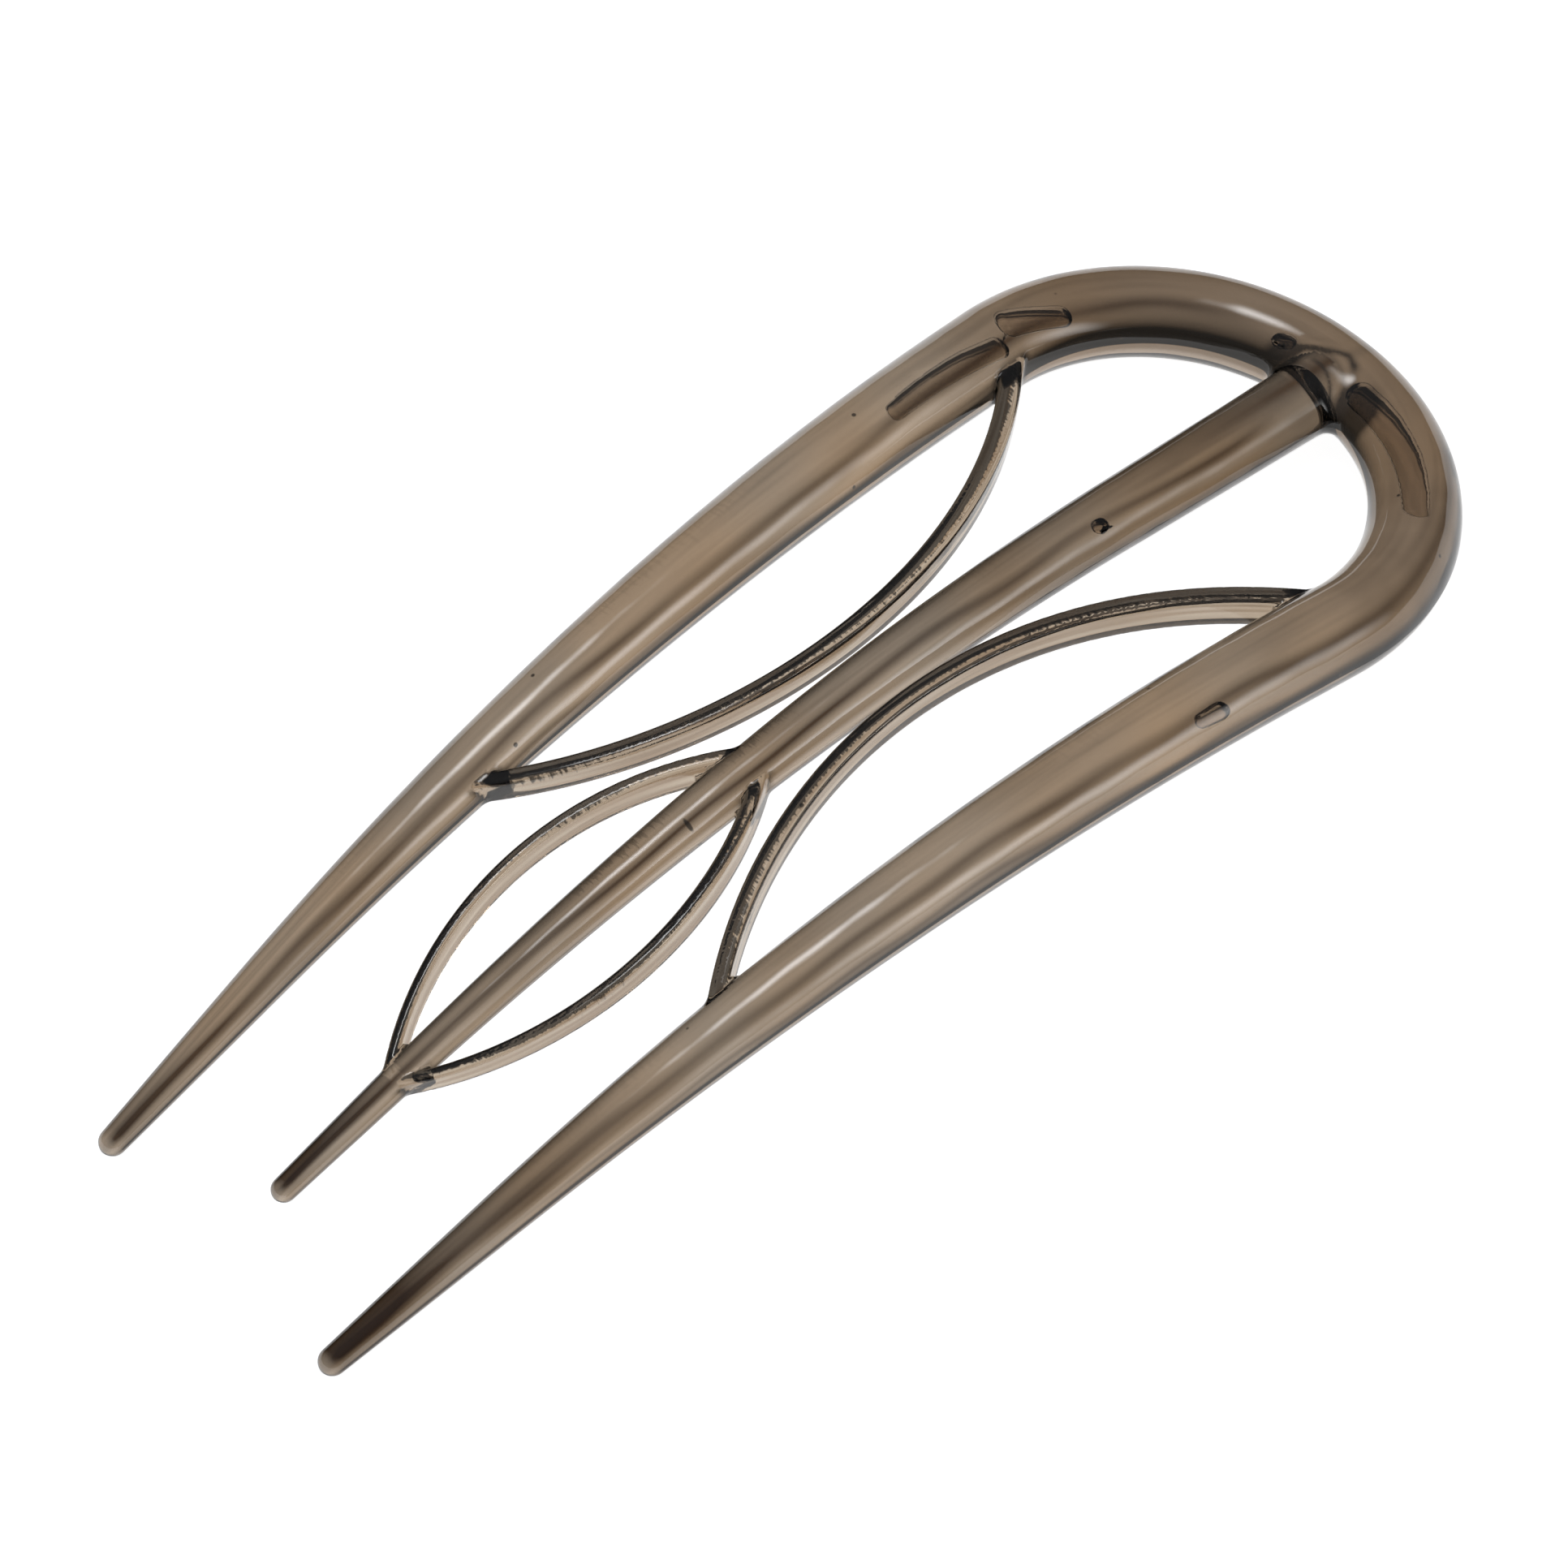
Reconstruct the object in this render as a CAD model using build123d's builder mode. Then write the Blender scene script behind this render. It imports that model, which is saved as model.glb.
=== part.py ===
from build123d import *
import math
import os

os.makedirs("parts", exist_ok=True)

# Hair pin moulded in one piece: a U of two tapering prongs and a round bow, a centre prong that
# springs from the middle of the bow, and four thin grip bars. Millimetres and degrees.
# It is laid out flat in plan, u across and v from the tips to the bow, and bent over a shallow arch.
# Row frame: +Y towards the bow, +Z up, the pin resting on its two outer tips and its bow.

# the U in plan
tip_spread = 24.2  # between the centres of the two outer tips
splay = 3.9  # lean of each outer prong, narrowing towards the tips
bow_reach = 111.45  # from the outer tips to the crown of the bow, along the centreline
outer_tip = 2.25  # width of an outer prong at its tip
outer_root = 7.4  # width of an outer prong where the bow begins
bow_width = 7.1  # width of the bow at its crown
outer_fullness = 1.68  # above 1 the prong widens fastest near its tip

# the centre prong
centre_setback = 6.0  # how far its tip stops short of the outer tips
centre_tip = 2.05
centre_root = 6.1
centre_fullness = 1.4
root_blend = 1.5  # fillet round its root on the bow

# the arch, convex side up
arch_radius = 172.0
arch_start = 15.4  # v where the straight tips end
arch_end = 87.1  # v where the straight bow end begins

# upper grip bars, from the bow past the waist by the centre prong to the outer prongs
upper_waist = 62.1  # v where a bar comes nearest the centre prong
upper_clearance = 0.6  # gap to the centre prong there
upper_radius = 41.95
upper_lift = 0.4  # height of their middle above the parting line
upper_thick = (1.8, 1.25)  # at the bow, at the outer prong
upper_height = (2.7, 2.5)

# lower grip bars, a lens round the centre prong
lens_start = 16.1  # v where the bars leave the centre prong
lens_end = 52.2  # v where they come back to it
lens_bulge = 6.35  # reach of a bar's centreline from the middle
lower_thick = (1.2, 0.9)  # at the bow end, at the tip end
lower_height = (2.9, 2.1)

bar_edge = 0.42  # rounding of the bars' long edges
bar_blend = 0.3  # fillet where a bar meets a prong or the bow
prong_stations = 9  # sections along a straight prong
bow_stations = 5  # sections from the end of a prong to the crown
bar_stations = 6

lean = math.radians(splay)
tip_u = tip_spread / 2
bow_radius = (tip_u + math.tan(lean) * bow_reach) / (
    math.cos(lean) + math.tan(lean) * (1 + math.sin(lean))
)
bow_v = bow_reach - bow_radius
root_v = bow_v - bow_radius * math.sin(lean)
centre_length = bow_reach - centre_setback


def profile(v):
    """Side view of the arch before it is laid down: run, rise and downhill angle at v."""
    middle = (arch_start + arch_end) / 2
    half = (arch_end - arch_start) / 2
    bent = max(-half, min(half, v - middle))
    straight = v - middle - bent
    angle = bent / arch_radius
    run = arch_radius * math.sin(angle) + straight * math.cos(angle)
    rise = arch_radius * (math.cos(angle) - 1) - straight * math.sin(angle)
    return run, rise, angle


# the pin lies on the underside of its outer tips and of the bow's crown
tip_run, tip_rise, _ = profile(0)
crown_run, crown_rise, _ = profile(bow_reach)
span = math.hypot(crown_run - tip_run, crown_rise - tip_rise)
slope = math.atan2(crown_rise - tip_rise, crown_run - tip_run)
lay = math.asin((bow_width - outer_tip) / 2 / span) - slope


def laid(run, rise):
    """Turn a point of the side view so that the pin lies level."""
    return (
        run * math.cos(lay) - rise * math.sin(lay),
        run * math.sin(lay) + rise * math.cos(lay),
    )


tip_y, tip_z = laid(tip_run, tip_rise)
crown_y, _ = laid(crown_run, crown_rise)
middle_y = (tip_y - outer_tip / 2 + crown_y + bow_width / 2) / 2
floor_z = tip_z - outer_tip / 2


def place(u, v, du, dv, lift=0.0):
    """Plane square to the direction (du, dv) at (u, v), its own x pointing up out of the arch."""
    run, rise, angle = profile(v)
    y, z = laid(run, rise)
    pitch = angle - lay
    up = Vector(0, math.sin(pitch), math.cos(pitch))
    ahead = Vector(du, dv * math.cos(pitch), -dv * math.sin(pitch))
    centre = Vector(u, y - middle_y, z - floor_z) + up * lift
    return Plane(origin=centre, x_dir=up, z_dir=ahead)


def taper(share, tip, root, fullness):
    """Width of a prong at a share of its length from the tip."""
    return tip + (root - tip) * (1 - (1 - share) ** fullness)


def between(ends, share):
    return ends[0] + share * (ends[1] - ends[0])


def outer_row(share):
    """Plane and width at a share of an outer prong, from its tip to the bow."""
    v = share * root_v
    plane = place(tip_u + v * math.tan(lean), v, math.sin(lean), math.cos(lean))
    return plane, taper(share, outer_tip, outer_root, outer_fullness)


def bow_row(share):
    """Plane and width at a share of half the bow, from a prong to the crown."""
    turn = between((-lean, math.pi / 2), share)
    across, along = math.cos(turn), math.sin(turn)
    plane = place(bow_radius * across, bow_v + bow_radius * along, -along, across)
    return plane, between((outer_root, bow_width), share)


def centre_row(share):
    """Plane and width at a share of the centre prong, from its tip to the crown of the bow."""
    plane = place(0, centre_setback + share * centre_length, 0, 1)
    return plane, taper(share, centre_tip, centre_root, centre_fullness)


def outer_u(v):
    """How far out the centreline of the U lies at v."""
    if v < root_v:
        return tip_u + v * math.tan(lean)
    return math.sqrt(max(bow_radius**2 - (v - bow_v) ** 2, 0))


# an upper bar's centreline is an arc whose waist is set off from the centre prong
waist_width = centre_row((upper_waist - centre_setback) / centre_length)[1]
waist_u = waist_width / 2 + upper_clearance + between(upper_thick, 0.5) / 2


def upper_point(turn):
    """A point of the upper bar's arc, turned from its waist."""
    u = waist_u + upper_radius * (1 - math.cos(turn))
    v = upper_waist + upper_radius * math.sin(turn)
    return u, v


def turn_to_limb(furthest):
    """Turn of the upper bar's arc, from its waist, at which it meets the U's centreline."""
    inside, outside = 0, furthest
    for _ in range(40):
        turn = (inside + outside) / 2
        u, v = upper_point(turn)
        if u < outer_u(v):
            inside = turn
        else:
            outside = turn
    return inside


upper_turns = (turn_to_limb(math.pi / 2), turn_to_limb(-math.pi / 2))


def upper_row(share):
    """Plane, thickness and height at a share of an upper bar, from the bow down."""
    turn = between(upper_turns, share)
    plane = place(*upper_point(turn), -math.sin(turn), -math.cos(turn), upper_lift)
    return plane, between(upper_thick, share), between(upper_height, share)


# a lower bar's centreline is an arc through both its ends and its furthest reach
lens_half = (lens_end - lens_start) / 2
lens_radius = (lens_half**2 + lens_bulge**2) / (2 * lens_bulge)
lens_turn = math.asin(lens_half / lens_radius)


def lower_row(share):
    """Plane, thickness and height at a share of a lower bar, from its upper end down."""
    turn = between((lens_turn, -lens_turn), share)
    u = lens_bulge - lens_radius * (1 - math.cos(turn))
    v = (lens_start + lens_end) / 2 + lens_radius * math.sin(turn)
    plane = place(u, v, math.sin(turn), -math.cos(turn))
    return plane, between(lower_thick, share), between(lower_height, share)


def other_side(row):
    """The same section on the left, where the U runs back from its crown to the tip."""
    plane, width = row
    origin = Vector(-plane.origin.X, plane.origin.Y, plane.origin.Z)
    ahead = Vector(plane.z_dir.X, -plane.z_dir.Y, -plane.z_dir.Z)
    return Plane(origin=origin, x_dir=plane.x_dir, z_dir=ahead), width


right_rows = [outer_row(i / prong_stations) for i in range(prong_stations)]
right_rows += [bow_row(i / bow_stations) for i in range(bow_stations)]
u_rows = right_rows + [bow_row(1)] + [other_side(row) for row in reversed(right_rows)]
centre_rows = [centre_row(i / prong_stations) for i in range(prong_stations + 1)]
upper_rows = [upper_row(i / bar_stations) for i in range(bar_stations + 1)]
lower_rows = [lower_row(i / bar_stations) for i in range(bar_stations + 1)]

with BuildPart() as u_frame:
    for plane, width in u_rows:
        with BuildSketch(plane):
            Circle(width / 2)
    loft()
    with Locations(u_rows[0][0].origin, u_rows[-1][0].origin):
        Sphere(outer_tip / 2)

with BuildPart() as centre_prong:
    for plane, width in centre_rows:
        with BuildSketch(plane):
            Circle(width / 2)
    loft()
    with Locations(centre_rows[0][0].origin):
        Sphere(centre_tip / 2)

with BuildPart() as upper_bar:
    for plane, thick, height in upper_rows:
        with BuildSketch(plane):
            RectangleRounded(height, thick, bar_edge)
    loft()

with BuildPart() as lower_bar:
    for plane, thick, height in lower_rows:
        with BuildSketch(plane):
            RectangleRounded(height, thick, bar_edge)
    loft()

# each bar is joined and blended by itself, first on the right and then on the left
with BuildPart() as hair_pin:
    add(u_frame.part)
    add(centre_prong.part)
    fillet(hair_pin.edges(Select.NEW), radius=root_blend)
    for bar in (lower_bar, upper_bar):
        add(bar.part)
        fillet(hair_pin.edges(Select.NEW), radius=bar_blend)
        mirror(bar.part, about=Plane.YZ)
        fillet(hair_pin.edges(Select.NEW), radius=bar_blend)

hair_pin.part.label = "hair_pin"
export_step(hair_pin.part, "parts/hair_pin.step")
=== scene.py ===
import math

import bpy
import numpy as np
from mathutils import Matrix, Vector


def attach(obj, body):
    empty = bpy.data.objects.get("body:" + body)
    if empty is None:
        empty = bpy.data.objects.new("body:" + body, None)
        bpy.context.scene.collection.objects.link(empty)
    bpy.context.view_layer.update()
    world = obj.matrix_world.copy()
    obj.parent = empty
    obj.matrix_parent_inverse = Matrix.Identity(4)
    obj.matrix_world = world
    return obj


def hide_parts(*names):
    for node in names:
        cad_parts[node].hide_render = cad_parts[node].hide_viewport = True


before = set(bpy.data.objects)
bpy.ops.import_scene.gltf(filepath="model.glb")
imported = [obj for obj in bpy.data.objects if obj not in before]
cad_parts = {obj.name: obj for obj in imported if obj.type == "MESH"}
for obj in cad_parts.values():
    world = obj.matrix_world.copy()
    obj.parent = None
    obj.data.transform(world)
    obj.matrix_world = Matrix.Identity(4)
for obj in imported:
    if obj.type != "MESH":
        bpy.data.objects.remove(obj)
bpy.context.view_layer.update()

# Smoky translucent hair pin, moulded in one piece, on a white light table.
# It is modelled flat, u across, v from the tips to the bow and w up from the parting plane, in
# millimetres, and then bent over its arch. The finished skin stands for the one solid of the frame.

MM = 0.001

# the U in plan
tip_spread = 24.2
splay = math.radians(3.9)
bow_reach = 111.45
outer_tip = 2.25
outer_root = 7.4
bow_width = 7.1
outer_fullness = 1.68

# the centre prong
centre_setback = 6.0
centre_tip = 2.05
centre_root = 6.1
centre_fullness = 1.4
root_blend = 1.5
under_blend = 0.5  # the same fillet on the underside, a guess, since the photograph shows the top
under_levels = (-2.5, -0.5)  # w between which the one gives way to the other
root_margin = 0.35  # the prong's buried end is this share of the bow's width short of the crown

# the arch, convex side up
arch_radius = 172.0
arch_start = 15.4
arch_end = 87.1

# the grip bars
upper_waist = 62.1
upper_clearance = 0.6
upper_radius = 41.95
upper_lift = 0.4
upper_thick = (1.8, 1.25)
upper_height = (2.7, 2.5)
lens_start = 16.1
lens_end = 52.2
lens_bulge = 6.35
lower_thick = (1.2, 0.9)
lower_height = (2.9, 2.1)
bar_edge = 0.42
bar_blend = 0.3
lens_blend = 0.2  # of the lower bars, less because they end just under the top of the centre prong

# the mould: each half leans away from the parting plane, so that they meet in a low ridge
draft = math.radians(6.0)
skin_allowance = 0.05  # keeps the skin just inside the solid's own box
wave_lengths = (3.5, 6.0)  # of the skin's slight waves
waves_of_each = 4
wave_height = 0.005

# the skin's mesh
mesh_step = 0.43  # spacing of its vertices, halved on what is small
slender_end = 14.0  # v up to which every prong is slender
bubble_skin = 0.25  # how near a bubble the mesh is still fine
relax_rounds = 6
ridge_side = 0.004  # how far off the ridge a corner's normal is taken

# air bubbles in the plastic: where each starts, what it bends towards and where it ends, in plan,
# its radius at both ends, and its level above the parting plane
bubbles = [
    {
        "start": (-17.1, 80.2), "bend": (-17.9, 86.0), "end": (-17.4, 91.0),
        "radii": (0.7, 0.9), "level": 1.2,
    },
    {
        "start": (-18.3, 93.2), "bend": (-17.9, 95.2), "end": (-16.8, 97.3),
        "radii": (1.05, 0.95), "level": 1.5,
    },
    {
        "start": (-4.3, 109.1), "bend": (-4.1, 109.3), "end": (-3.8, 109.4),
        "radii": (0.8, 0.75), "level": 1.9,
    },
    {
        "start": (3.3, 110.2), "bend": (10.0, 109.6), "end": (14.8, 103.8),
        "radii": (1.15, 0.7), "level": 1.1,
    },
    {
        "start": (19.0, 76.6), "bend": (19.1, 77.4), "end": (19.2, 78.2),
        "radii": (0.65, 0.8), "level": 1.4,
    },
    {
        "start": (1.0, 84.0), "bend": (1.0, 84.1), "end": (1.0, 84.3),
        "radii": (0.65, 0.6), "level": 1.5,
    },
]
bubble_flatness = 0.45  # height over width
bubble_links = 7  # straight lengths that follow a bubble's bend
bubble_margin = 1.5  # how far round a bubble its distance is worked out
bubble_wall = 0.05  # within this distance of a bubble, the skin is the bubble's own

# the weld at the root of the centre prong, in plan
weld_middle = (0.5, 108.5)
weld_reach = 6.0
weld_left = (-3.2, 107.6)
weld_right = (4.5, 107.9)
weld_apex = (0.9, 110.7)
prong_end = (-0.2, 105.2)  # the middle of the collar round the prong's end

# the lean in section of the layers of painted light and shade, and the uneven spread of the pigment
painted_light_lean = math.radians(29)  # how far its layers lean over to the right
cloud_waves = 8
cloud_lengths = (9, 26)
cloud_height = 0.055

tip_u = tip_spread / 2
bow_radius = (tip_u + math.tan(splay) * bow_reach) / (
    math.cos(splay) + math.tan(splay) * (1 + math.sin(splay))
)
bow_v = bow_reach - bow_radius
bow_quarter = bow_radius * (math.pi / 2 + splay)
prong_length = (bow_v - bow_radius * math.sin(splay)) / math.cos(splay)
centre_length = bow_reach - centre_setback


def between(ends, share):
    return ends[0] + share * (ends[1] - ends[0])


def step_up(value, low, high):
    """A smooth step from 0 at low to 1 at high."""
    share = np.clip((value - low) / (high - low), 0, 1)
    return share * share * (3 - 2 * share)


def taper(share, tip, root, fullness):
    """Width of a prong at a share of its length from the tip."""
    return tip + (root - tip) * (1 - (1 - np.clip(share, 0, 1)) ** fullness)


def outer_width(along):
    return taper(along / prong_length, outer_tip, outer_root, outer_fullness)


def centre_width(along):
    return taper(along / centre_length, centre_tip, centre_root, centre_fullness)


def by_outer_prong(u, v):
    """Place by an outer prong: along it from its tip, and off its middle."""
    side = np.abs(u) - tip_u
    along = side * math.sin(splay) + v * math.cos(splay)
    off = side * math.cos(splay) - v * math.sin(splay)
    return along, off


def moulded(across, up, width):
    """Distance to a round section whose two halves meet in a ridge on the parting plane."""
    half = width / 2 - skin_allowance
    sink = math.tan(draft) / (1 - 2 * math.tan(draft))
    wide = 1 / math.sqrt(1 - (sink / (1 + sink)) ** 2)
    return np.hypot(across / wide, (np.abs(up) + sink * half) / (1 + sink)) - half


def outer_limb(u, v, w):
    """Distance to the U: two straight prongs and a bow of one radius."""
    along, off = by_outer_prong(u, v)
    prong = moulded(np.hypot(off, np.minimum(along, 0)), w, outer_width(along))
    turn = np.arctan2(v - bow_v, np.abs(u))
    share = (turn + splay) / (math.pi / 2 + splay)
    bow = moulded(np.hypot(u, v - bow_v) - bow_radius, w, between((outer_root, bow_width), share))
    return np.where(along < prong_length, prong, bow)


def centre_limb(u, v, w):
    """Distance to the centre prong, rounded at its tip and buried in the bow at its root."""
    along = v - centre_setback
    buried = centre_length - root_margin * bow_width
    beyond = np.minimum(along, 0) + np.maximum(along - buried, 0)
    return moulded(np.hypot(u, beyond), w, centre_width(along))


def bar(off, up, beyond, thick, height):
    """Distance to a bar of rounded rectangular section."""
    across = np.abs(off) - thick / 2 + bar_edge
    tall = np.abs(up) - height / 2 + bar_edge
    ahead = beyond + bar_edge
    outside = np.sqrt(
        np.maximum(across, 0) ** 2 + np.maximum(tall, 0) ** 2 + np.maximum(ahead, 0) ** 2
    )
    return outside + np.minimum(np.maximum(np.maximum(across, tall), ahead), 0) - bar_edge


waist_width = float(centre_width(upper_waist - centre_setback))
waist_u = waist_width / 2 + upper_clearance + between(upper_thick, 0.5) / 2
lens_middle = (lens_start + lens_end) / 2
lens_half = (lens_end - lens_start) / 2
lens_radius = (lens_half**2 + lens_bulge**2) / (2 * lens_bulge)
lens_turn = math.asin(lens_half / lens_radius)


def outer_u(v):
    """How far out the centreline of the U lies at v."""
    if v < bow_v - bow_radius * math.sin(splay):
        return tip_u + v * math.tan(splay)
    return math.sqrt(max(bow_radius**2 - (v - bow_v) ** 2, 0))


def turn_to_limb(furthest):
    """Turn of the upper bar's arc, from its waist, at which it meets the U's centreline."""
    inside, outside = 0, furthest
    halvings = 40
    for _ in range(halvings):
        turn = (inside + outside) / 2
        reached = waist_u + upper_radius * (1 - math.cos(turn))
        if reached < outer_u(upper_waist + upper_radius * math.sin(turn)):
            inside = turn
        else:
            outside = turn
    return inside


upper_turns = (turn_to_limb(math.pi / 2), turn_to_limb(-math.pi / 2))


def by_upper_bar(u, v):
    """Place by an upper grip bar: out from its middle, and the turn of its arc."""
    centre_u = waist_u + upper_radius
    off = upper_radius - np.hypot(np.abs(u) - centre_u, v - upper_waist)
    return off, np.arctan2(v - upper_waist, centre_u - np.abs(u))


def upper_bar(u, v, w):
    """Distance to the upper grip bars, arcs that lean in to the centre prong at their waist."""
    off, turn = by_upper_bar(u, v)
    share = np.clip((turn - upper_turns[0]) / (upper_turns[1] - upper_turns[0]), 0, 1)
    beyond = np.maximum(turn - upper_turns[0], upper_turns[1] - turn) * upper_radius
    return bar(off, w - upper_lift, beyond, between(upper_thick, share), between(upper_height, share))


def by_lower_bar(u, v):
    """Place by a lower grip bar: out from its middle, and the turn of its arc."""
    centre_u = lens_bulge - lens_radius
    off = np.hypot(np.abs(u) - centre_u, v - lens_middle) - lens_radius
    return off, np.arctan2(v - lens_middle, np.abs(u) - centre_u)


def lower_bar(u, v, w):
    """Distance to the lower grip bars, the two arcs of a lens round the centre prong."""
    off, turn = by_lower_bar(u, v)
    share = np.clip((lens_turn - turn) / (2 * lens_turn), 0, 1)
    beyond = (np.abs(turn) - lens_turn) * lens_radius
    return bar(off, w, beyond, between(lower_thick, share), between(lower_height, share))


def blend(one, other, radius):
    """Join two forms by their distances, with a fillet in the corner between them."""
    corner = np.hypot(np.maximum(radius - one, 0), np.maximum(radius - other, 0))
    return np.maximum(radius, np.minimum(one, other)) - corner


def bubble_distance(bubble, u, v, w):
    """Distance to one air bubble, a bent line with a radius."""
    up = (w - bubble["level"]) / bubble_flatness
    shares = np.linspace(0, 1, bubble_links + 1)[:, None]
    start, bend, end = (np.array(bubble[key]) for key in ("start", "bend", "end"))
    line = start * (1 - shares) ** 2 + bend * 2 * shares * (1 - shares) + end * shares**2
    radii = between(bubble["radii"], shares[:, 0])
    nearest = np.full(len(u), bubble_margin)
    for here, there, first, last in zip(line, line[1:], radii, radii[1:]):
        run = there - here
        share = np.clip(((u - here[0]) * run[0] + (v - here[1]) * run[1]) / (run @ run), 0, 1)
        off = np.hypot(u - here[0] - share * run[0], v - here[1] - share * run[1])
        nearest = np.minimum(nearest, np.hypot(off, up) - between((first, last), share))
    return nearest


def air(u, v, w):
    """Distance to the nearest air bubble, no further than the bubbles' margin."""
    nearest = np.full(np.shape(u), bubble_margin)
    for bubble in bubbles:
        reach = bubble_margin + max(bubble["radii"])
        places = np.array([bubble["start"], bubble["bend"], bubble["end"]])
        (low_u, low_v), (high_u, high_v) = places.min(axis=0) - reach, places.max(axis=0) + reach
        near = (u > low_u) & (u < high_u) & (v > low_v) & (v < high_v)
        nearest[near] = np.minimum(nearest[near], bubble_distance(bubble, u[near], v[near], w[near]))
    return nearest


def pin_distance(u, v, w):
    """Distance from a point of the flat pin to its skin, negative inside the plastic."""
    fillet = between((under_blend, root_blend), step_up(w, *under_levels))
    body = blend(outer_limb(u, v, w), centre_limb(u, v, w), fillet)
    body = blend(body, lower_bar(u, v, w), lens_blend)
    body = blend(body, upper_bar(u, v, w), bar_blend)
    return np.maximum(body, -air(u, v, w))


def slope(points):
    """Gradient of the distance at the rows of points."""
    nudge = 0.002
    rows = []
    for axis in range(3):
        ahead, behind = points.copy(), points.copy()
        ahead[:, axis] += nudge
        behind[:, axis] -= nudge
        rows.append((pin_distance(*ahead.T) - pin_distance(*behind.T)) / (2 * nudge))
    return np.stack(rows, axis=1)


def settle(points, parted, rounds):
    """Move points onto the skin. Those on the parting plane stay in it."""
    least_slope = 0.05
    for _ in range(rounds):
        way = slope(points)
        way[parted, 2] = 0
        size = np.maximum((way**2).sum(axis=1), least_slope)
        points = points - way * (pin_distance(*points.T) / size)[:, None]
    return points


def grid_skin(step):
    """Points and quads of the flat pin's skin, one point in each cell of a grid that it crosses."""
    reach = np.array([tip_u + prong_length * math.sin(splay) + outer_root, 0, outer_root / 2 + step])
    counts = np.ceil(reach / step).astype(int)
    across = (np.arange(2 * counts[0]) + 0.5 - counts[0]) * step
    up = (np.arange(2 * counts[2]) + 0.5 - counts[2]) * step
    along = np.arange(-outer_tip, bow_reach + bow_width, step)
    axes = (across, along, up)
    inside = pin_distance(*np.meshgrid(*axes, indexing="ij")) < 0
    full = np.ones([n - 1 for n in inside.shape], bool)
    empty = full.copy()
    for corner in np.ndindex(2, 2, 2):
        part = inside[tuple(slice(k, n - 1 + k) for k, n in zip(corner, inside.shape))]
        full &= part
        empty &= ~part
    crossed = ~(full | empty)
    number = np.full(crossed.shape, -1)
    number[crossed] = np.arange(crossed.sum())
    places = np.argwhere(crossed)
    points = np.stack([axes[k][places[:, k]] + step / 2 for k in range(3)], axis=1)
    quads = []
    for axis in range(3):
        one, two = (axis + 1) % 3, (axis + 2) % 3
        ahead = np.roll(inside, -1, axis)
        changed = inside != ahead
        for k in range(3):
            edge = [slice(None)] * 3
            edge[k] = [0, -1] if k != axis else [-1]
            changed[tuple(edge)] = False
        place = np.argwhere(changed)
        ring = []
        for back_one, back_two in ((0, 0), (1, 0), (1, 1), (0, 1)):
            cell = place.copy()
            cell[:, one] -= back_one
            cell[:, two] -= back_two
            ring.append(number[tuple(cell.T)])
        ring = np.stack(ring, axis=1)
        leaving = inside[tuple(place.T)]
        ring[~leaving] = ring[~leaving][:, ::-1]
        quads.append(ring)
    return points, np.concatenate(quads)


def refine(points, quads, parted, chosen):
    """Split the chosen quads in four. The faces beside them take the new points into their rims."""
    ahead = np.roll(quads, -1, axis=1)
    keys = np.minimum(quads, ahead) * len(points) + np.maximum(quads, ahead)
    split = np.unique(keys[chosen])
    one, other = split // len(points), split % len(points)
    halfway = len(points) + np.searchsorted(split, keys)
    centre = len(points) + len(split) + np.arange(chosen.sum())
    grown = np.concatenate([
        points, (points[one] + points[other]) / 2, points[quads[chosen]].mean(axis=1)
    ])
    parted = np.concatenate([parted, parted[one] & parted[other], np.zeros(len(centre), bool)])
    faces = []
    for k in range(4):
        corner = [quads[chosen, k], halfway[chosen, k], centre, halfway[chosen, k - 1]]
        faces += np.stack(corner, axis=1).tolist()
    beside = np.isin(keys, split)
    for quad, middle, cut in zip(quads[~chosen].tolist(), halfway[~chosen].tolist(), beside[~chosen]):
        face = []
        for k in range(4):
            face.append(quad[k])
            if cut[k]:
                face.append(middle[k])
        faces.append(face)
    return grown, faces, parted


def corner_list(faces):
    """The points at the faces' corners, the next point round for each, and the corner's face."""
    sizes = np.array([len(face) for face in faces])
    corners = np.concatenate(faces)
    following = np.arange(len(corners)) + 1
    ends = np.cumsum(sizes)
    following[ends - 1] = ends - sizes
    return corners, corners[following], np.repeat(np.arange(len(faces)), sizes)


def relax(points, corners, following, parted, share):
    """Even out the spacing: each point moves towards the middle of its neighbours along the skin."""
    count = np.bincount(corners, minlength=len(points))
    total = np.stack([
        np.bincount(corners, weights=points[following, axis], minlength=len(points))
        for axis in range(3)
    ], axis=1)
    pull = total / count[:, None] - points
    way = slope(points)
    way /= np.linalg.norm(way, axis=1)[:, None]
    pull -= way * (pull * way).sum(axis=1)[:, None]
    pull[parted, 2] = 0
    return points + share * pull


def side_view(v):
    """Side view of the arch at v before it is laid down: run, rise and downhill angle."""
    middle = (arch_start + arch_end) / 2
    half = (arch_end - arch_start) / 2
    bent = np.clip(v - middle, -half, half)
    straight = v - middle - bent
    angle = bent / arch_radius
    run = arch_radius * np.sin(angle) + straight * np.cos(angle)
    rise = arch_radius * (np.cos(angle) - 1) - straight * np.sin(angle)
    return run, rise, angle


tip_run, tip_rise, _ = side_view(0.0)
crown_run, crown_rise, _ = side_view(bow_reach)
chord = math.hypot(crown_run - tip_run, crown_rise - tip_rise)
fall = math.atan2(crown_rise - tip_rise, crown_run - tip_run)
lay = math.asin((bow_width - outer_tip) / 2 / chord) - fall


def laid(run, rise):
    """Turn a point of the side view so that the pin lies on its tips and its bow."""
    return (
        run * math.cos(lay) - rise * math.sin(lay),
        run * math.sin(lay) + rise * math.cos(lay),
    )


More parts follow.
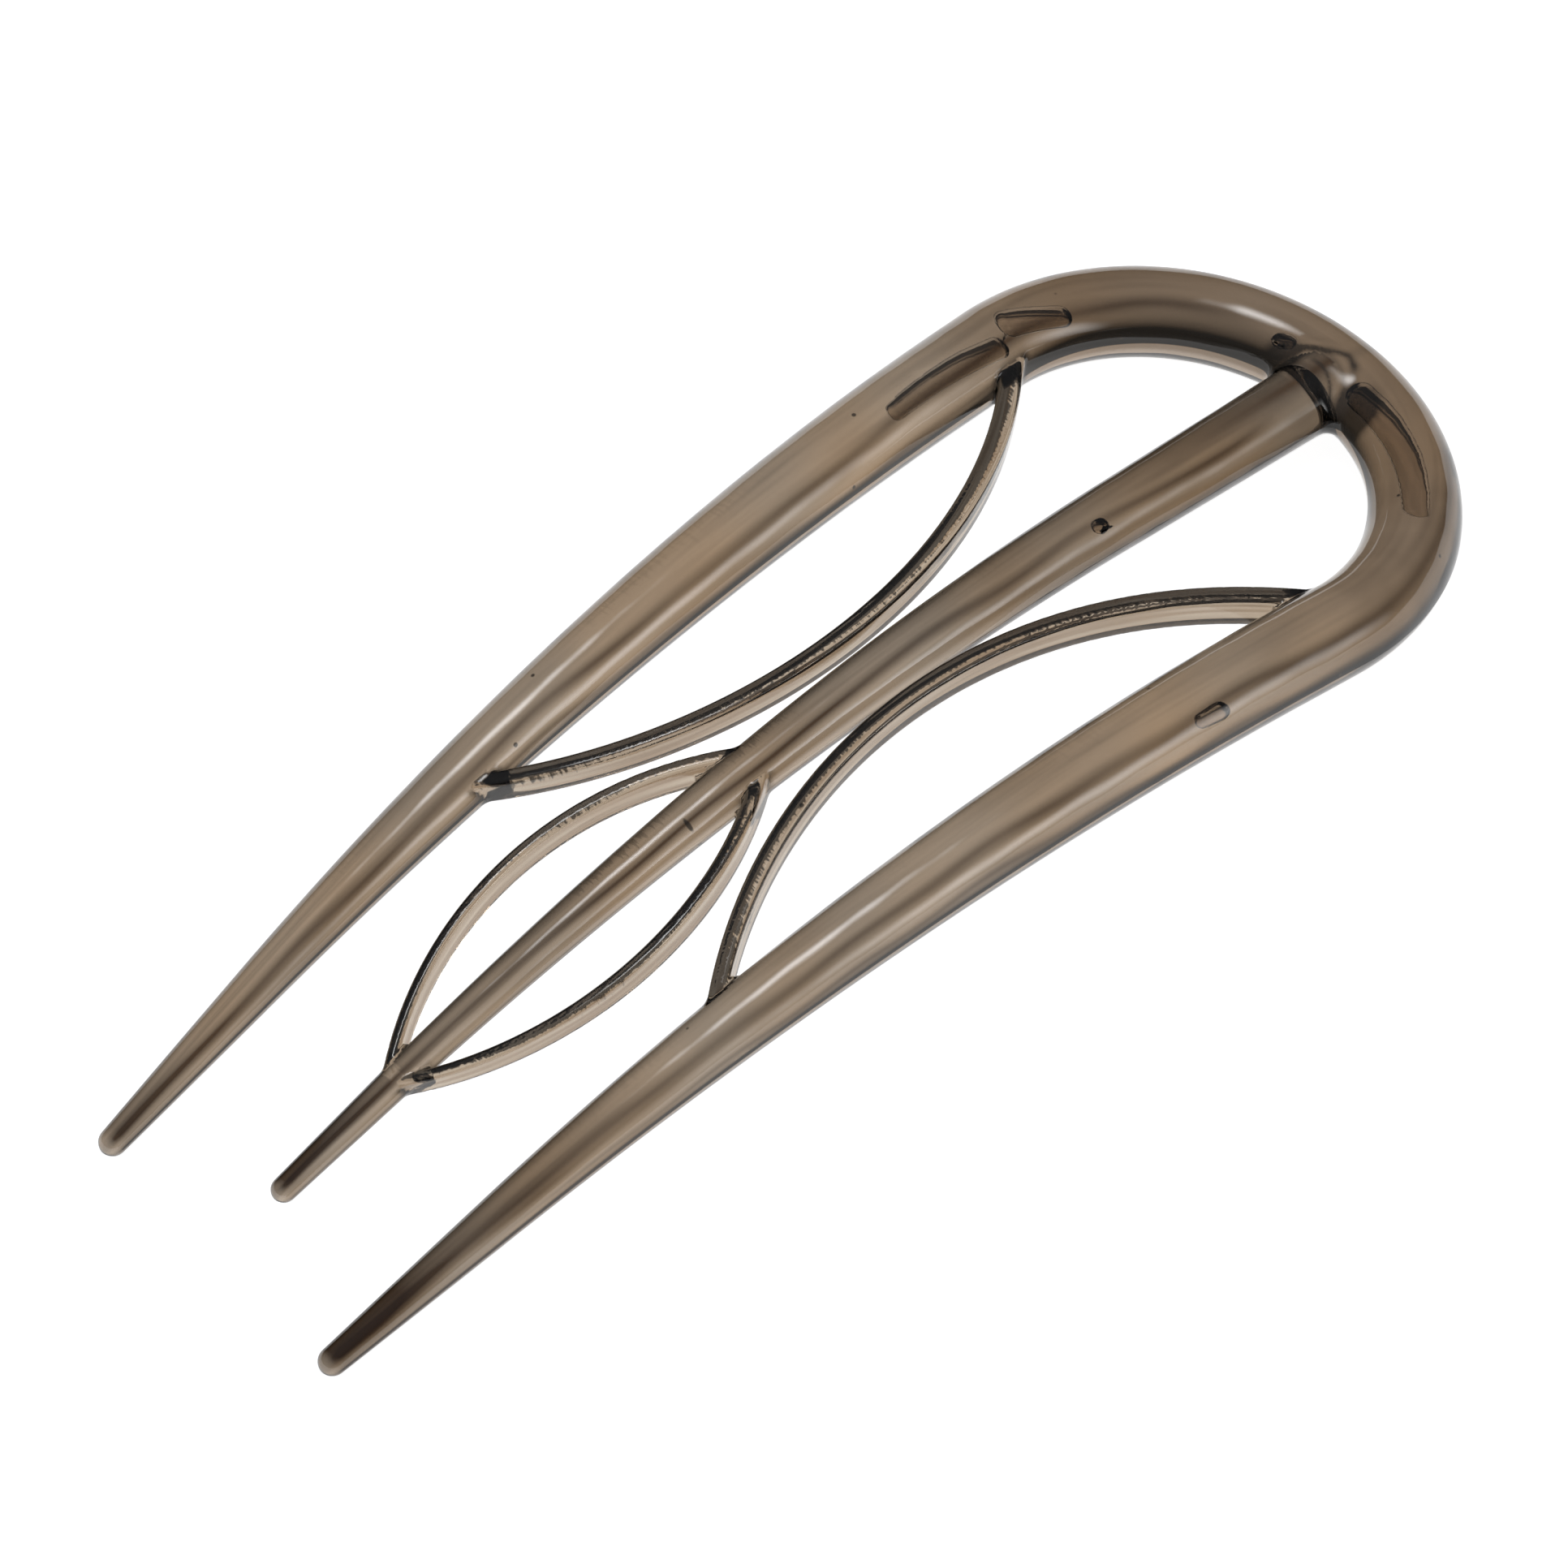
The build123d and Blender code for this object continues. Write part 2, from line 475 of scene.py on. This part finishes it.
tip_y, tip_z = laid(tip_run, tip_rise)
crown_y, _ = laid(crown_run, crown_rise)
middle_y = (tip_y - outer_tip / 2 + crown_y + bow_width / 2) / 2
floor_z = tip_z - outer_tip / 2


def arched(points):
    """Flat points bent over the arch, in metres in the frame of the pin."""
    u, v, w = points.T
    run, rise, angle = side_view(v)
    y, z = laid(run, rise)
    pitch = angle - lay
    y = y - middle_y + w * np.sin(pitch)
    z = z - floor_z + w * np.cos(pitch)
    return np.stack([u, y, z], axis=1) * MM


def arched_normals(points, normals):
    """Normals of the flat skin turned with the arch."""
    _, _, angle = side_view(points[:, 1])
    pitch = angle - lay
    stretch = 1 + points[:, 2] / arch_radius
    across, ahead, up = normals[:, 0], normals[:, 1] / stretch, normals[:, 2]
    turned = np.stack([
        across,
        ahead * np.cos(pitch) + up * np.sin(pitch),
        up * np.cos(pitch) - ahead * np.sin(pitch),
    ], axis=1)
    return turned / np.linalg.norm(turned, axis=1)[:, None]


def small_form(points):
    """Where the pin is slender or tightly curved, and needs a finer skin."""
    u, v, w = points.T
    limbs = np.minimum(outer_limb(u, v, w), centre_limb(u, v, w))
    bars = np.minimum(lower_bar(u, v, w), upper_bar(u, v, w))
    welded = (np.hypot(u - weld_middle[0], v - weld_middle[1]) < weld_reach) & (w > 0)
    return (bars < limbs + bar_blend) | (air(u, v, w) < bubble_skin) | (v < slender_end) | welded


def ripple(points):
    """How far the skin's slight waves turn its normals, from a few long waves in seeded directions."""
    random = np.random.default_rng(7)
    turned = np.zeros(points.shape)
    for length in wave_lengths:
        for _ in range(waves_of_each):
            way = random.normal(size=3) * (1.0, 0.35, 1.0)
            way *= 2 * math.pi / length / np.linalg.norm(way)
            turned += way * (wave_height * np.cos(points @ way + random.uniform(0, 7)))[:, None]
    return turned


def mould_skin():
    """The whole skin of the pin, settled on its exact form, with a normal for each corner."""
    points, quads = grid_skin(mesh_step)
    parted = np.abs(points[:, 2]) < mesh_step / 4
    points = settle(points, parted, rounds=3)
    chosen = small_form(points[quads].mean(axis=1))
    points, faces, parted = refine(points, quads, parted, chosen)
    corners, following, face_of = corner_list(faces)
    for _ in range(relax_rounds):
        points = relax(points, corners, following, parted, share=0.5)
        points = settle(points, parted, rounds=1)
    points = settle(points, parted, rounds=2)
    leaning = points[corners]
    on_ridge = parted[corners]
    counts = np.bincount(face_of)
    levels = np.bincount(face_of, weights=leaning[:, 2]) / counts
    leaning[on_ridge, 2] = ridge_side * np.sign(levels[face_of[on_ridge]])
    return points, faces, leaning, slope(leaning) + ripple(leaning)


def hump(value, middle, reach):
    """1 at the middle and 0 past its reach on either side."""
    return 1 - step_up(np.abs(value - middle), 0, reach)


def stroke(u, v, here, there, width):
    """A soft line drawn in plan from here to there."""
    run = (there[0] - here[0], there[1] - here[1])
    length = math.hypot(*run)
    ahead = ((u - here[0]) * run[0] + (v - here[1]) * run[1]) / length
    aside = ((v - here[1]) * run[0] - (u - here[0]) * run[1]) / length
    ends = step_up(ahead, -width, width) * (1 - step_up(ahead - length, -width, width))
    return hump(aside, 0, width) * ends


def patch(u, v, middle, inner, outer):
    """A round spot in plan, full within its inner radius."""
    return 1 - step_up(np.hypot(u - middle[0], v - middle[1]), inner, outer)


def weld_shade_and_lines(u, v, w):
    """Painted shade and the weld's lines at the root of the centre prong.

    It is black with painted shade in both corners. A line, partly the weld and partly painted shade along the
    fillet, runs from the left corner over the apex to the right one, another fades out over the bow, and a
    collar of painted shade lies round the prong's end.
    """
    corners = patch(u, v, weld_right, 1.5, 2.4) + patch(u, v, weld_left, 1.1, 2.0)
    lines = (
        stroke(u, v, (-3.2, 108.4), weld_apex, 0.6)
        + stroke(u, v, weld_apex, (2.2, 110.2), 0.6) * 0.8
        + stroke(u, v, (1.6, 110.4), (4.4, 107.9), 0.7) * 0.6
        + stroke(u, v, (0.9, 110.6), (1.2, 114.0), 0.8) * 0.3
    )
    from_end = np.hypot(u - prong_end[0], v - prong_end[1])
    collar = hump(from_end, 3.35, 0.3) * step_up(u, -1.2, -0.2) + hump(from_end, 4.4, 0.45) * 0.6
    collar *= step_up(v, 105.8, 107.2)
    return np.clip(corners * step_up(w, -0.2, 0.6) + (lines + collar) * step_up(w, 0.8, 1.6), 0, 1)


def cloudiness(points):
    """A slowly varying value about a half, the uneven spread of the pigment."""
    random = np.random.default_rng(3)
    total = np.full(len(points), 0.5)
    for _ in range(cloud_waves):
        way = random.normal(size=3) * (1.0, 0.4, 1.0)
        way *= 2 * math.pi / random.uniform(*cloud_lengths) / np.linalg.norm(way)
        total += cloud_height * np.cos(points @ way + random.uniform(0, 7))
    return total


def place_on_form(u, v, w):
    """The form that each point is on, its place there, and its distance to a corner between two.

    The forms are 0 the U, 1 the centre prong, 2 a lower bar and 3 an upper bar. The place is out
    from the form's middle and up from the parting plane, as shares of its half width, and back
    from the crown of the bow in mm, negative on the left of the pin.
    """
    along, off = by_outer_prong(u, v)
    turn = np.arctan2(v - bow_v, np.abs(u))
    on_prong = along < prong_length
    outer_off = np.where(on_prong, off, np.hypot(u, v - bow_v) - bow_radius)
    outer_back = np.where(on_prong, bow_quarter + prong_length - along, bow_radius * (math.pi / 2 - turn))
    outer_half = outer_width(along) / 2
    centre_half = centre_width(v - centre_setback) / 2
    forms = [outer_limb(u, v, w), centre_limb(u, v, w), lower_bar(u, v, w), upper_bar(u, v, w)]
    form = np.stack(forms).argmin(axis=0)
    corner = np.minimum(np.maximum(forms[0], forms[3]), np.maximum(forms[1], forms[2]))
    out = np.choose(form, [
        outer_off / outer_half,
        u / centre_half,
        by_lower_bar(u, v)[0] / (between(lower_thick, 0.5) / 2),
        by_upper_bar(u, v)[0] / (between(upper_thick, 0.5) / 2),
    ])
    half = np.choose(form, [
        outer_half, centre_half, between(lower_height, 0.5) / 2, between(upper_height, 0.5) / 2
    ])
    sign = np.where(u < 0, -1.0, 1.0)
    back = np.choose(form, [outer_back * sign, bow_reach - v, (bow_reach - v) * sign, (bow_reach - v) * sign])
    return form, out, back, w / half, corner


def run_of_plastic(points):
    """How the plastic ran in the mould and where its painted light and shade lie, as named values at each
    point of the skin.

    Out, back and level are its place on its form. On a bubble, out says how steep its wall is.
    """
    u, v, w = points.T
    form, out, back, level, corner = place_on_form(u, v, w)
    in_air = air(u, v, w) < bubble_wall
    cloud = cloudiness(points)

    # where along the limbs
    on_centre = (form == 1) * 1.0
    from_crown = np.abs(back)
    from_tip = np.where(form == 1, v - centre_setback, bow_quarter + prong_length - from_crown)
    near_tip = 1 - step_up(from_tip, 0, 42)
    heavy = near_tip * np.where(back < 0, 0.4, 1.0) * (1 - on_centre * 0.6)
    near_root = on_centre * (1 - step_up(from_crown, 5, 62))
    narrow = on_centre * (1 - near_tip) * (1 - near_root)
    on_bow = (1 - step_up(from_crown, 20, 40)) * (1 - on_centre)
    inner_left = on_bow * step_up(-out, 0, 0.3) * step_up(-back, -2, 2)
    blob = step_up(from_tip, -0.4, 0.9) * (1 - step_up(from_tip, 0, 15))

    # towards the right of the pin on every limb, leaning in section as the painted light and shade do, and
    # off the painted dark core's middle
    leaning = out * np.where(back < 0, -1, 1) * math.cos(painted_light_lean) - level * math.sin(painted_light_lean)
    core_middle = 0.12 - heavy * 0.32 - on_centre * 0.14 + (cloud - 0.5) * 0.4

    # painted shade and light: the dark core, and the paler and darker streaks beside it
    core_depth = 0.49 + near_tip * (0.14 - on_centre * 0.16 - heavy * 0.1) + on_centre * 0.12 + blob * 0.3
    core_under = np.clip(heavy * 0.7 + on_centre * 0.3 + blob * 0.4, 0, 1)
    pale_share = 0.4 + near_tip * 0.3 - on_bow
    second_share = 1 - near_tip - on_centre

    # painted shade just above and below the ridge, and up the left edge
    ridge_low = 0.1 - narrow * 0.08 + inner_left * 0.25
    ridge_high = 0.3 - narrow * 0.15 + on_bow * 0.35 + inner_left * 0.25
    ridge_share = 1 - on_centre * 0.4 + heavy * 0.4
    below_share = 0.4 + near_tip * 0.45 - inner_left
    edge_start = 0.72 - heavy * 0.5 - on_centre * 0.25
    edge_share = 0.75 + on_centre * 0.25 + heavy * 0.25 - on_bow * 0.75

    # painted shade by the root and on the right prong's tip, a painted highlight streak, and painted light at
    # the clear ends and under the bow's inner left
    shade = near_root * (near_root * 0.4 + hump(leaning, -0.45, 0.6) * 0.6)
    right_tip = near_tip * (1 - on_centre) * (back > 0) * step_up(out, 0.5, 0.8)
    shade += (near_root * 0.22 + right_tip * 0.3) * step_up(leaning, 0.1, 0.6)
    lit_streak = narrow * step_up(from_crown, 25, 45) * (1 - step_up(from_crown, 65, 85))
    clear = 1 - step_up(from_tip, -0.7, 0.1) + inner_left * step_up(-level, 0.12, 0.25) * 1.4

    # painted shade and the weld's lines at the weld, painted shade in the corners by the bars, ticks drawn
    # across, and where the painted shade on the bars is wider
    by_corner = 1 - step_up(corner + (cloud - 0.5) * 0.5, 0.1, 0.6)
    corner_shade = weld_shade_and_lines(u, v, w) * 0.97 + by_corner * (1 - step_up(np.abs(level), 0.45, 0.7))
    ticked = step_up(v, 14, 24) * (1 - step_up(v, 62, 80)) * (0.3 + on_centre * 0.7)
    bar_shade_width = np.where(back > 0, hump(v, 31, 15), hump(v, 39, 10) * 0.6 + hump(v, 72, 18) * 0.1)

    out[in_air] = 1 - np.abs(slope(points[in_air])[:, 2])
    shares = {
        "run": (out, back, level),
        "kind": ((form < 2) & ~in_air, on_bow, in_air),
        "across": (leaning, leaning - core_middle, cloud),
        "core": (core_depth, core_under, step_up(from_crown, 4, 14)),
        "streaks": (heavy, pale_share, second_share),
        "ridge": (ridge_low, ridge_high, ridge_share),
        "edge": (edge_start, edge_share, below_share),
        "shade": (shade, lit_streak, clear),
        "marks": (corner_shade, ticked, bar_shade_width),
    }
    return {name: np.stack(values, axis=1).astype(float) for name, values in shares.items()}


def solid_mesh(name, points, faces, normals, shares):
    """A smooth mesh with its own corner normals, and named values kept at its points."""
    mesh = bpy.data.meshes.new(name)
    mesh.from_pydata(points.tolist(), [], faces)
    mesh.polygons.foreach_set("use_smooth", np.ones(len(faces), bool))
    mesh.normals_split_custom_set(normals.tolist())
    for label, values in shares.items():
        mesh.attributes.new(label, "FLOAT_VECTOR", "POINT").data.foreach_set("vector", values.ravel())
    mesh.update()
    return mesh


def place_piece(name, mesh, material):
    """Put a mesh in the scene as a piece that rides on the pin's one body."""
    piece = bpy.data.objects.new(name, mesh)
    bpy.context.scene.collection.objects.link(piece)
    mesh.materials.append(material)
    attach(piece, "root")
    return piece


class Signal:
    """A value in a node tree, on which arithmetic adds Math nodes."""

    def __init__(self, tree, socket=None):
        self.tree = tree
        self.socket = socket

    def node(self, kind, settings=None, inputs=None, output=0):
        """Add a node: first its settings, then the values or links of its sockets."""
        made = self.tree.nodes.new(kind)
        for name, value in (settings or {}).items():
            if name == "stops":
                ramp = made.color_ramp.elements
                while len(ramp) < len(value):
                    ramp.new(0.5)
                for stop, (place, colour) in zip(ramp, value):
                    stop.position = place
                    stop.color = colour
            else:
                setattr(made, name, value)
        for name, value in (inputs or {}).items():
            if isinstance(value, Signal):
                self.tree.links.new(value.socket, made.inputs[name])
            else:
                made.inputs[name].default_value = value
        return Signal(self.tree, made.outputs[output] if made.outputs else None)

    def math(self, operation, *values):
        return self.node("ShaderNodeMath", {"operation": operation}, dict(enumerate(values)))

    def scaled(self, sizes):
        """A vector stretched by a size for each of its three values."""
        return self.node("ShaderNodeVectorMath", {"operation": "MULTIPLY"}, {0: self, 1: sizes})

    def mix(self, first, last, share):
        """Colours mixed by a share of the last."""
        return self.node("ShaderNodeMix", {"data_type": "RGBA"}, {0: share, 6: first, 7: last}, 2)

    def noise(self, scale, detail, roughness):
        """A soft noise over a vector."""
        inputs = {"Vector": self, "Scale": scale, "Detail": detail, "Roughness": roughness}
        return self.node("ShaderNodeTexNoise", None, inputs, "Fac")

    def ramp(self, low, high):
        """A smooth step from 0 at low to 1 at high."""
        inputs = {"Value": self, "From Min": low, "From Max": high}
        return self.node("ShaderNodeMapRange", {"interpolation_type": "SMOOTHSTEP"}, inputs)

    def size(self):
        """The value without its sign."""
        return self.math("ABSOLUTE", self)

    def band(self, middle, reach):
        """1 at the middle and 0 past its reach on either side."""
        return 1 - (self - middle).size().ramp(0, reach)

    def parts(self):
        """The three values of a vector."""
        split = self.node("ShaderNodeSeparateXYZ", None, {0: self})
        return [Signal(self.tree, socket) for socket in split.socket.node.outputs]

    def stored(self, name):
        """The vector that a mesh keeps under a name."""
        return self.node("ShaderNodeAttribute", {"attribute_name": name}, None, "Vector")

    def __add__(self, other):
        return self.math("ADD", self, other)

    def __radd__(self, other):
        return self.math("ADD", other, self)

    def __sub__(self, other):
        return self.math("SUBTRACT", self, other)

    def __rsub__(self, other):
        return self.math("SUBTRACT", other, self)

    def __mul__(self, other):
        return self.math("MULTIPLY", self, other)

    def __rmul__(self, other):
        return self.math("MULTIPLY", other, self)


def emptied(owner):
    """Give a material, a world or a light an empty node tree, and start a signal in it."""
    owner.use_nodes = True
    owner.node_tree.nodes.clear()
    return Signal(owner.node_tree)


def smoky_plastic():
    """Glossy smoky brown plastic that light passes through, with the streaks of its moulding and painted
    light and shade.
    """
    material = bpy.data.materials.new("smoky_plastic")
    start = emptied(material)
    run = start.stored("run")
    out, _, level = run.parts()
    on_limb, on_bow, on_bubble = start.stored("kind").parts()
    leaning, offset, cloud = start.stored("across").parts()
    core_depth, core_under, from_weld = start.stored("core").parts()
    heavy, pale_share, second_share = start.stored("streaks").parts()
    ridge_low, ridge_high, ridge_share = start.stored("ridge").parts()
    edge_start, edge_share, below_share = start.stored("edge").parts()
    shade, lit_streak, clear = start.stored("shade").parts()
    corner_shade, ticked, bar_shade_width = start.stored("marks").parts()
    on_bar = 1 - on_limb - on_bubble
    on_top = level.ramp(-0.12, 0.12) * on_limb

    brown = (0.31, 0.207, 0.12, 1)
    grey = (0.285, 0.232, 0.178, 1)
    bow_brown = (0.13, 0.083, 0.048, 1)
    painted_pale = (0.6, 0.52, 0.43, 1)
    lit = (0.9, 0.84, 0.78, 1)
    dark = (0.014, 0.006, 0.002, 1)
    near_black = (0.001, 0.001, 0.001, 1)
    speck_brown = (0.01, 0.008, 0.006, 1)
    bar_pale = (0.48, 0.4, 0.31, 1)
    bar_brown = (0.2, 0.12, 0.06, 1)
    air_clear = (0.75, 0.68, 0.6, 1)
    air_wall_shade = (0.01, 0.007, 0.004, 1)

    # pigment drawn out along the limbs, and grain drawn across them
    streak = run.scaled((1.6, 0.03, 0.8)).noise(2.0, 1.0, 0.55)
    threads = run.scaled((6.0, 0.05, 3.5)).noise(1.5, 0.0, 0.5)
    grain = run.scaled((0.8, 4.0, 0.7)).noise(1.0, 1.0, 0.65)
    tint = start.mix(grey, brown, cloud * 1.6 + leaning * 0.2 - 0.35)
    tint = start.mix(tint, bow_brown, on_bow * 0.6)

    # painted shade and light: a dark core, wide at the tips and narrower further up, with a paler streak on
    # its right
    core = 1 - offset.size().ramp(0.0, 0.28 + heavy * 0.6)
    through = on_top + (1 - on_top) * core_under * on_limb
    tint = start.mix(tint, dark, core * (core_depth + streak * 0.7) * through * from_weld)
    beside = (offset - 0.32 - heavy * 0.38).band(0, 0.2 + heavy * 0.15)
    tint = start.mix(tint, painted_pale, beside * pale_share * on_top)
    # a second streak of painted shade, then the pigment's darker streaks and threads
    painted_second_streak = offset.band(0.58, 0.14) * second_share
    tint = start.mix(tint, dark, painted_second_streak * (0.6 + streak * 0.4) * on_top)
    tint = start.mix(tint, dark, (streak - 0.45) * 1.3 * on_limb)
    tint = start.mix(tint, dark, (0.47 - threads) * 0.55 * on_limb)

    # painted shade just above the mould's ridge and below it, a painted highlight streak, painted shade by
    # the root and the right tip, painted shade up the left side, and paler painted light at the ends
    ridge_shade_above = level.ramp(0.0, 0.02) * (1 - level.ramp(ridge_low, ridge_high))
    tint = start.mix(tint, near_black, ridge_shade_above * ridge_share * on_limb)
    ridge_shade_below = level.ramp(0.0, -0.05) * (1 - level.ramp(-0.2, -0.5))
    tint = start.mix(tint, dark, ridge_shade_below * below_share * on_limb)
    tint = start.mix(tint, lit, leaning.band(0.74, 0.2) * lit_streak * on_top * 0.85)
    tint = start.mix(tint, dark, shade * on_top)
    tint = start.mix(tint, near_black, leaning.ramp(0 - edge_start, -0.97) * edge_share * on_limb)
    # painted light: paler at the rounded ends and under the inner left of the bow
    tint = start.mix(tint, painted_pale, clear * 0.5 * on_limb)

    # the bars' own brown, ragged painted shade on their top and left side, and short ticks up the left of the
    # limbs
    tint = start.mix(tint, start.mix(bar_pale, bar_brown, streak.ramp(0.35, 0.65) * 0.8), on_bar * 0.9)
    bar_shade = (leaning - bar_shade_width * 0.75 + grain * 0.9 + streak - 0.6).ramp(0.14, -0.1) * on_bar
    ticks = (leaning.ramp(-0.2, -0.95) + (grain - 0.5) * 2.0).ramp(0.62, 0.85) * on_limb
    ticks *= cloud.ramp(0.42, 0.6) * ticked
    tint = start.mix(tint, near_black, ticks * 0.5 + bar_shade * level.ramp(0.1, 0.5) * 0.97)

    # painted shade where the limbs meet, with the weld's lines, and specks
    tint = start.mix(tint, near_black, corner_shade * on_limb)
    place = start.node("ShaderNodeTexCoord", None, None, "Object")
    cells = {"Vector": place, "Scale": 0.22 / MM}
    speck = start.node("ShaderNodeTexVoronoi", {"feature": "F1"}, cells, "Distance")
    tint = start.mix(speck_brown, tint, speck.ramp(0.03, 0.05))

    # the bubbles are clear, with painted shade on their steep walls
    tint = start.mix(tint, start.mix(air_clear, air_wall_shade, out.ramp(0.4, 0.75)), on_bubble)

    plastic = start.node("ShaderNodeBsdfPrincipled", None, {
        "Base Color": tint,
        "Roughness": 0.07,
        "IOR": 1.5,
        "Transmission Weight": 1.0,
    })
    start.node("ShaderNodeOutputMaterial", None, {"Surface": plastic})
    return material


def white_table():
    """The plain white floor, lit from within so that it stays white."""
    material = bpy.data.materials.new("white_table")
    start = emptied(material)
    table = start.node("ShaderNodeBsdfPrincipled", None, {
        "Base Color": (0.5, 0.5, 0.5, 1),
        "Roughness": 0.6,
        "Specular IOR Level": 0.2,
        "Emission Color": (1, 1, 1, 1),
        "Emission Strength": 0.95,
    })
    start.node("ShaderNodeOutputMaterial", None, {"Surface": table})
    return material


def make_floor():
    half = 3.0
    mesh = bpy.data.meshes.new("floor")
    corners = [(-half, -half, 0), (half, -half, 0), (half, half, 0), (-half, half, 0)]
    mesh.from_pydata(corners, [], [(0, 1, 2, 3)])
    floor = bpy.data.objects.new("floor", mesh)
    bpy.context.scene.collection.objects.link(floor)
    mesh.materials.append(white_table())


def make_world():
    """A dim studio round the table, lighter overhead than at the horizon."""
    world = bpy.data.worlds.new("studio")
    bpy.context.scene.world = world
    start = emptied(world)
    facing = start.node("ShaderNodeTexCoord", None, None, "Generated")
    shade = start.node("ShaderNodeValToRGB", {"stops": [
        (0.0, (0.02, 0.02, 0.022, 1)),
        (0.3, (0.07, 0.07, 0.075, 1)),
        (0.75, (0.27, 0.27, 0.28, 1)),
        (1.0, (0.34, 0.34, 0.35, 1)),
    ]}, {"Fac": facing.parts()[2]})
    glow = start.node("ShaderNodeBackground", None, {"Color": shade, "Strength": 1.0})
    start.node("ShaderNodeOutputWorld", None, {"Surface": glow})


def soft_box(name, towards, distance, width, length, watts):
    """A rectangular light over the pin, in a direction from its middle, that fades to its edges."""
    light = bpy.data.lights.new(name, "AREA")
    light.shape = "RECTANGLE"
    light.size = width
    light.size_y = length
    light.energy = watts
    start = emptied(light)
    x, y, _ = start.node("ShaderNodeNewGeometry", None, None, "Parametric").parts()
    fall = x.band(0.5, 0.5) * y.band(0.5, 0.5)
    glow = start.node("ShaderNodeEmission", None, {"Strength": fall * 3.0})
    start.node("ShaderNodeOutputLight", None, {"Surface": glow})
    lamp = bpy.data.objects.new(name, light)
    lamp.location = Vector(towards).normalized() * distance
    lamp.rotation_mode = "QUATERNION"
    lamp.rotation_quaternion = (-lamp.location).to_track_quat("-Z", "Y")
    bpy.context.scene.collection.objects.link(lamp)


def make_camera():
    """The photograph's view: a long lens from above the tips, over the right prong."""
    aim = Vector((0.79, -4.03, 7.0)) * MM
    azimuth, elevation, roll = (math.radians(a) for a in (50.04, 54.45, 2.92))
    distance = 0.4014
    back = Vector((
        math.cos(elevation) * math.sin(azimuth),
        -math.cos(elevation) * math.cos(azimuth),
        math.sin(elevation),
    ))
    right = Vector((0, 0, 1)).cross(back).normalized()
    turned = Matrix((right, back.cross(right), back)).transposed().to_4x4()
    camera = bpy.data.objects.new("camera", bpy.data.cameras.new("camera"))
    camera.data.lens = 128.4
    camera.data.sensor_width = 36.0
    camera.data.clip_start = 0.01
    camera.matrix_world = Matrix.Translation(aim + back * distance) @ turned @ Matrix.Rotation(-roll, 4, "Z")
    bpy.context.scene.collection.objects.link(camera)
    bpy.context.scene.camera = camera


make_camera()
make_floor()
make_world()
soft_box("strip_box", towards=(-0.1, 0.08, 0.98), distance=0.6, width=0.26, length=0.36, watts=1.1)
soft_box("side_box", towards=(0.9, 0.37, 0.23), distance=0.8, width=0.8, length=0.4, watts=1.6)
bpy.context.scene.view_settings.view_transform = "Standard"

points, faces, corners, normals = mould_skin()
skin_mesh = solid_mesh(
    "moulding", arched(points), faces, arched_normals(corners, normals), run_of_plastic(points)
)
moulding = place_piece("moulding", skin_mesh, smoky_plastic())
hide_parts("hair_pin")
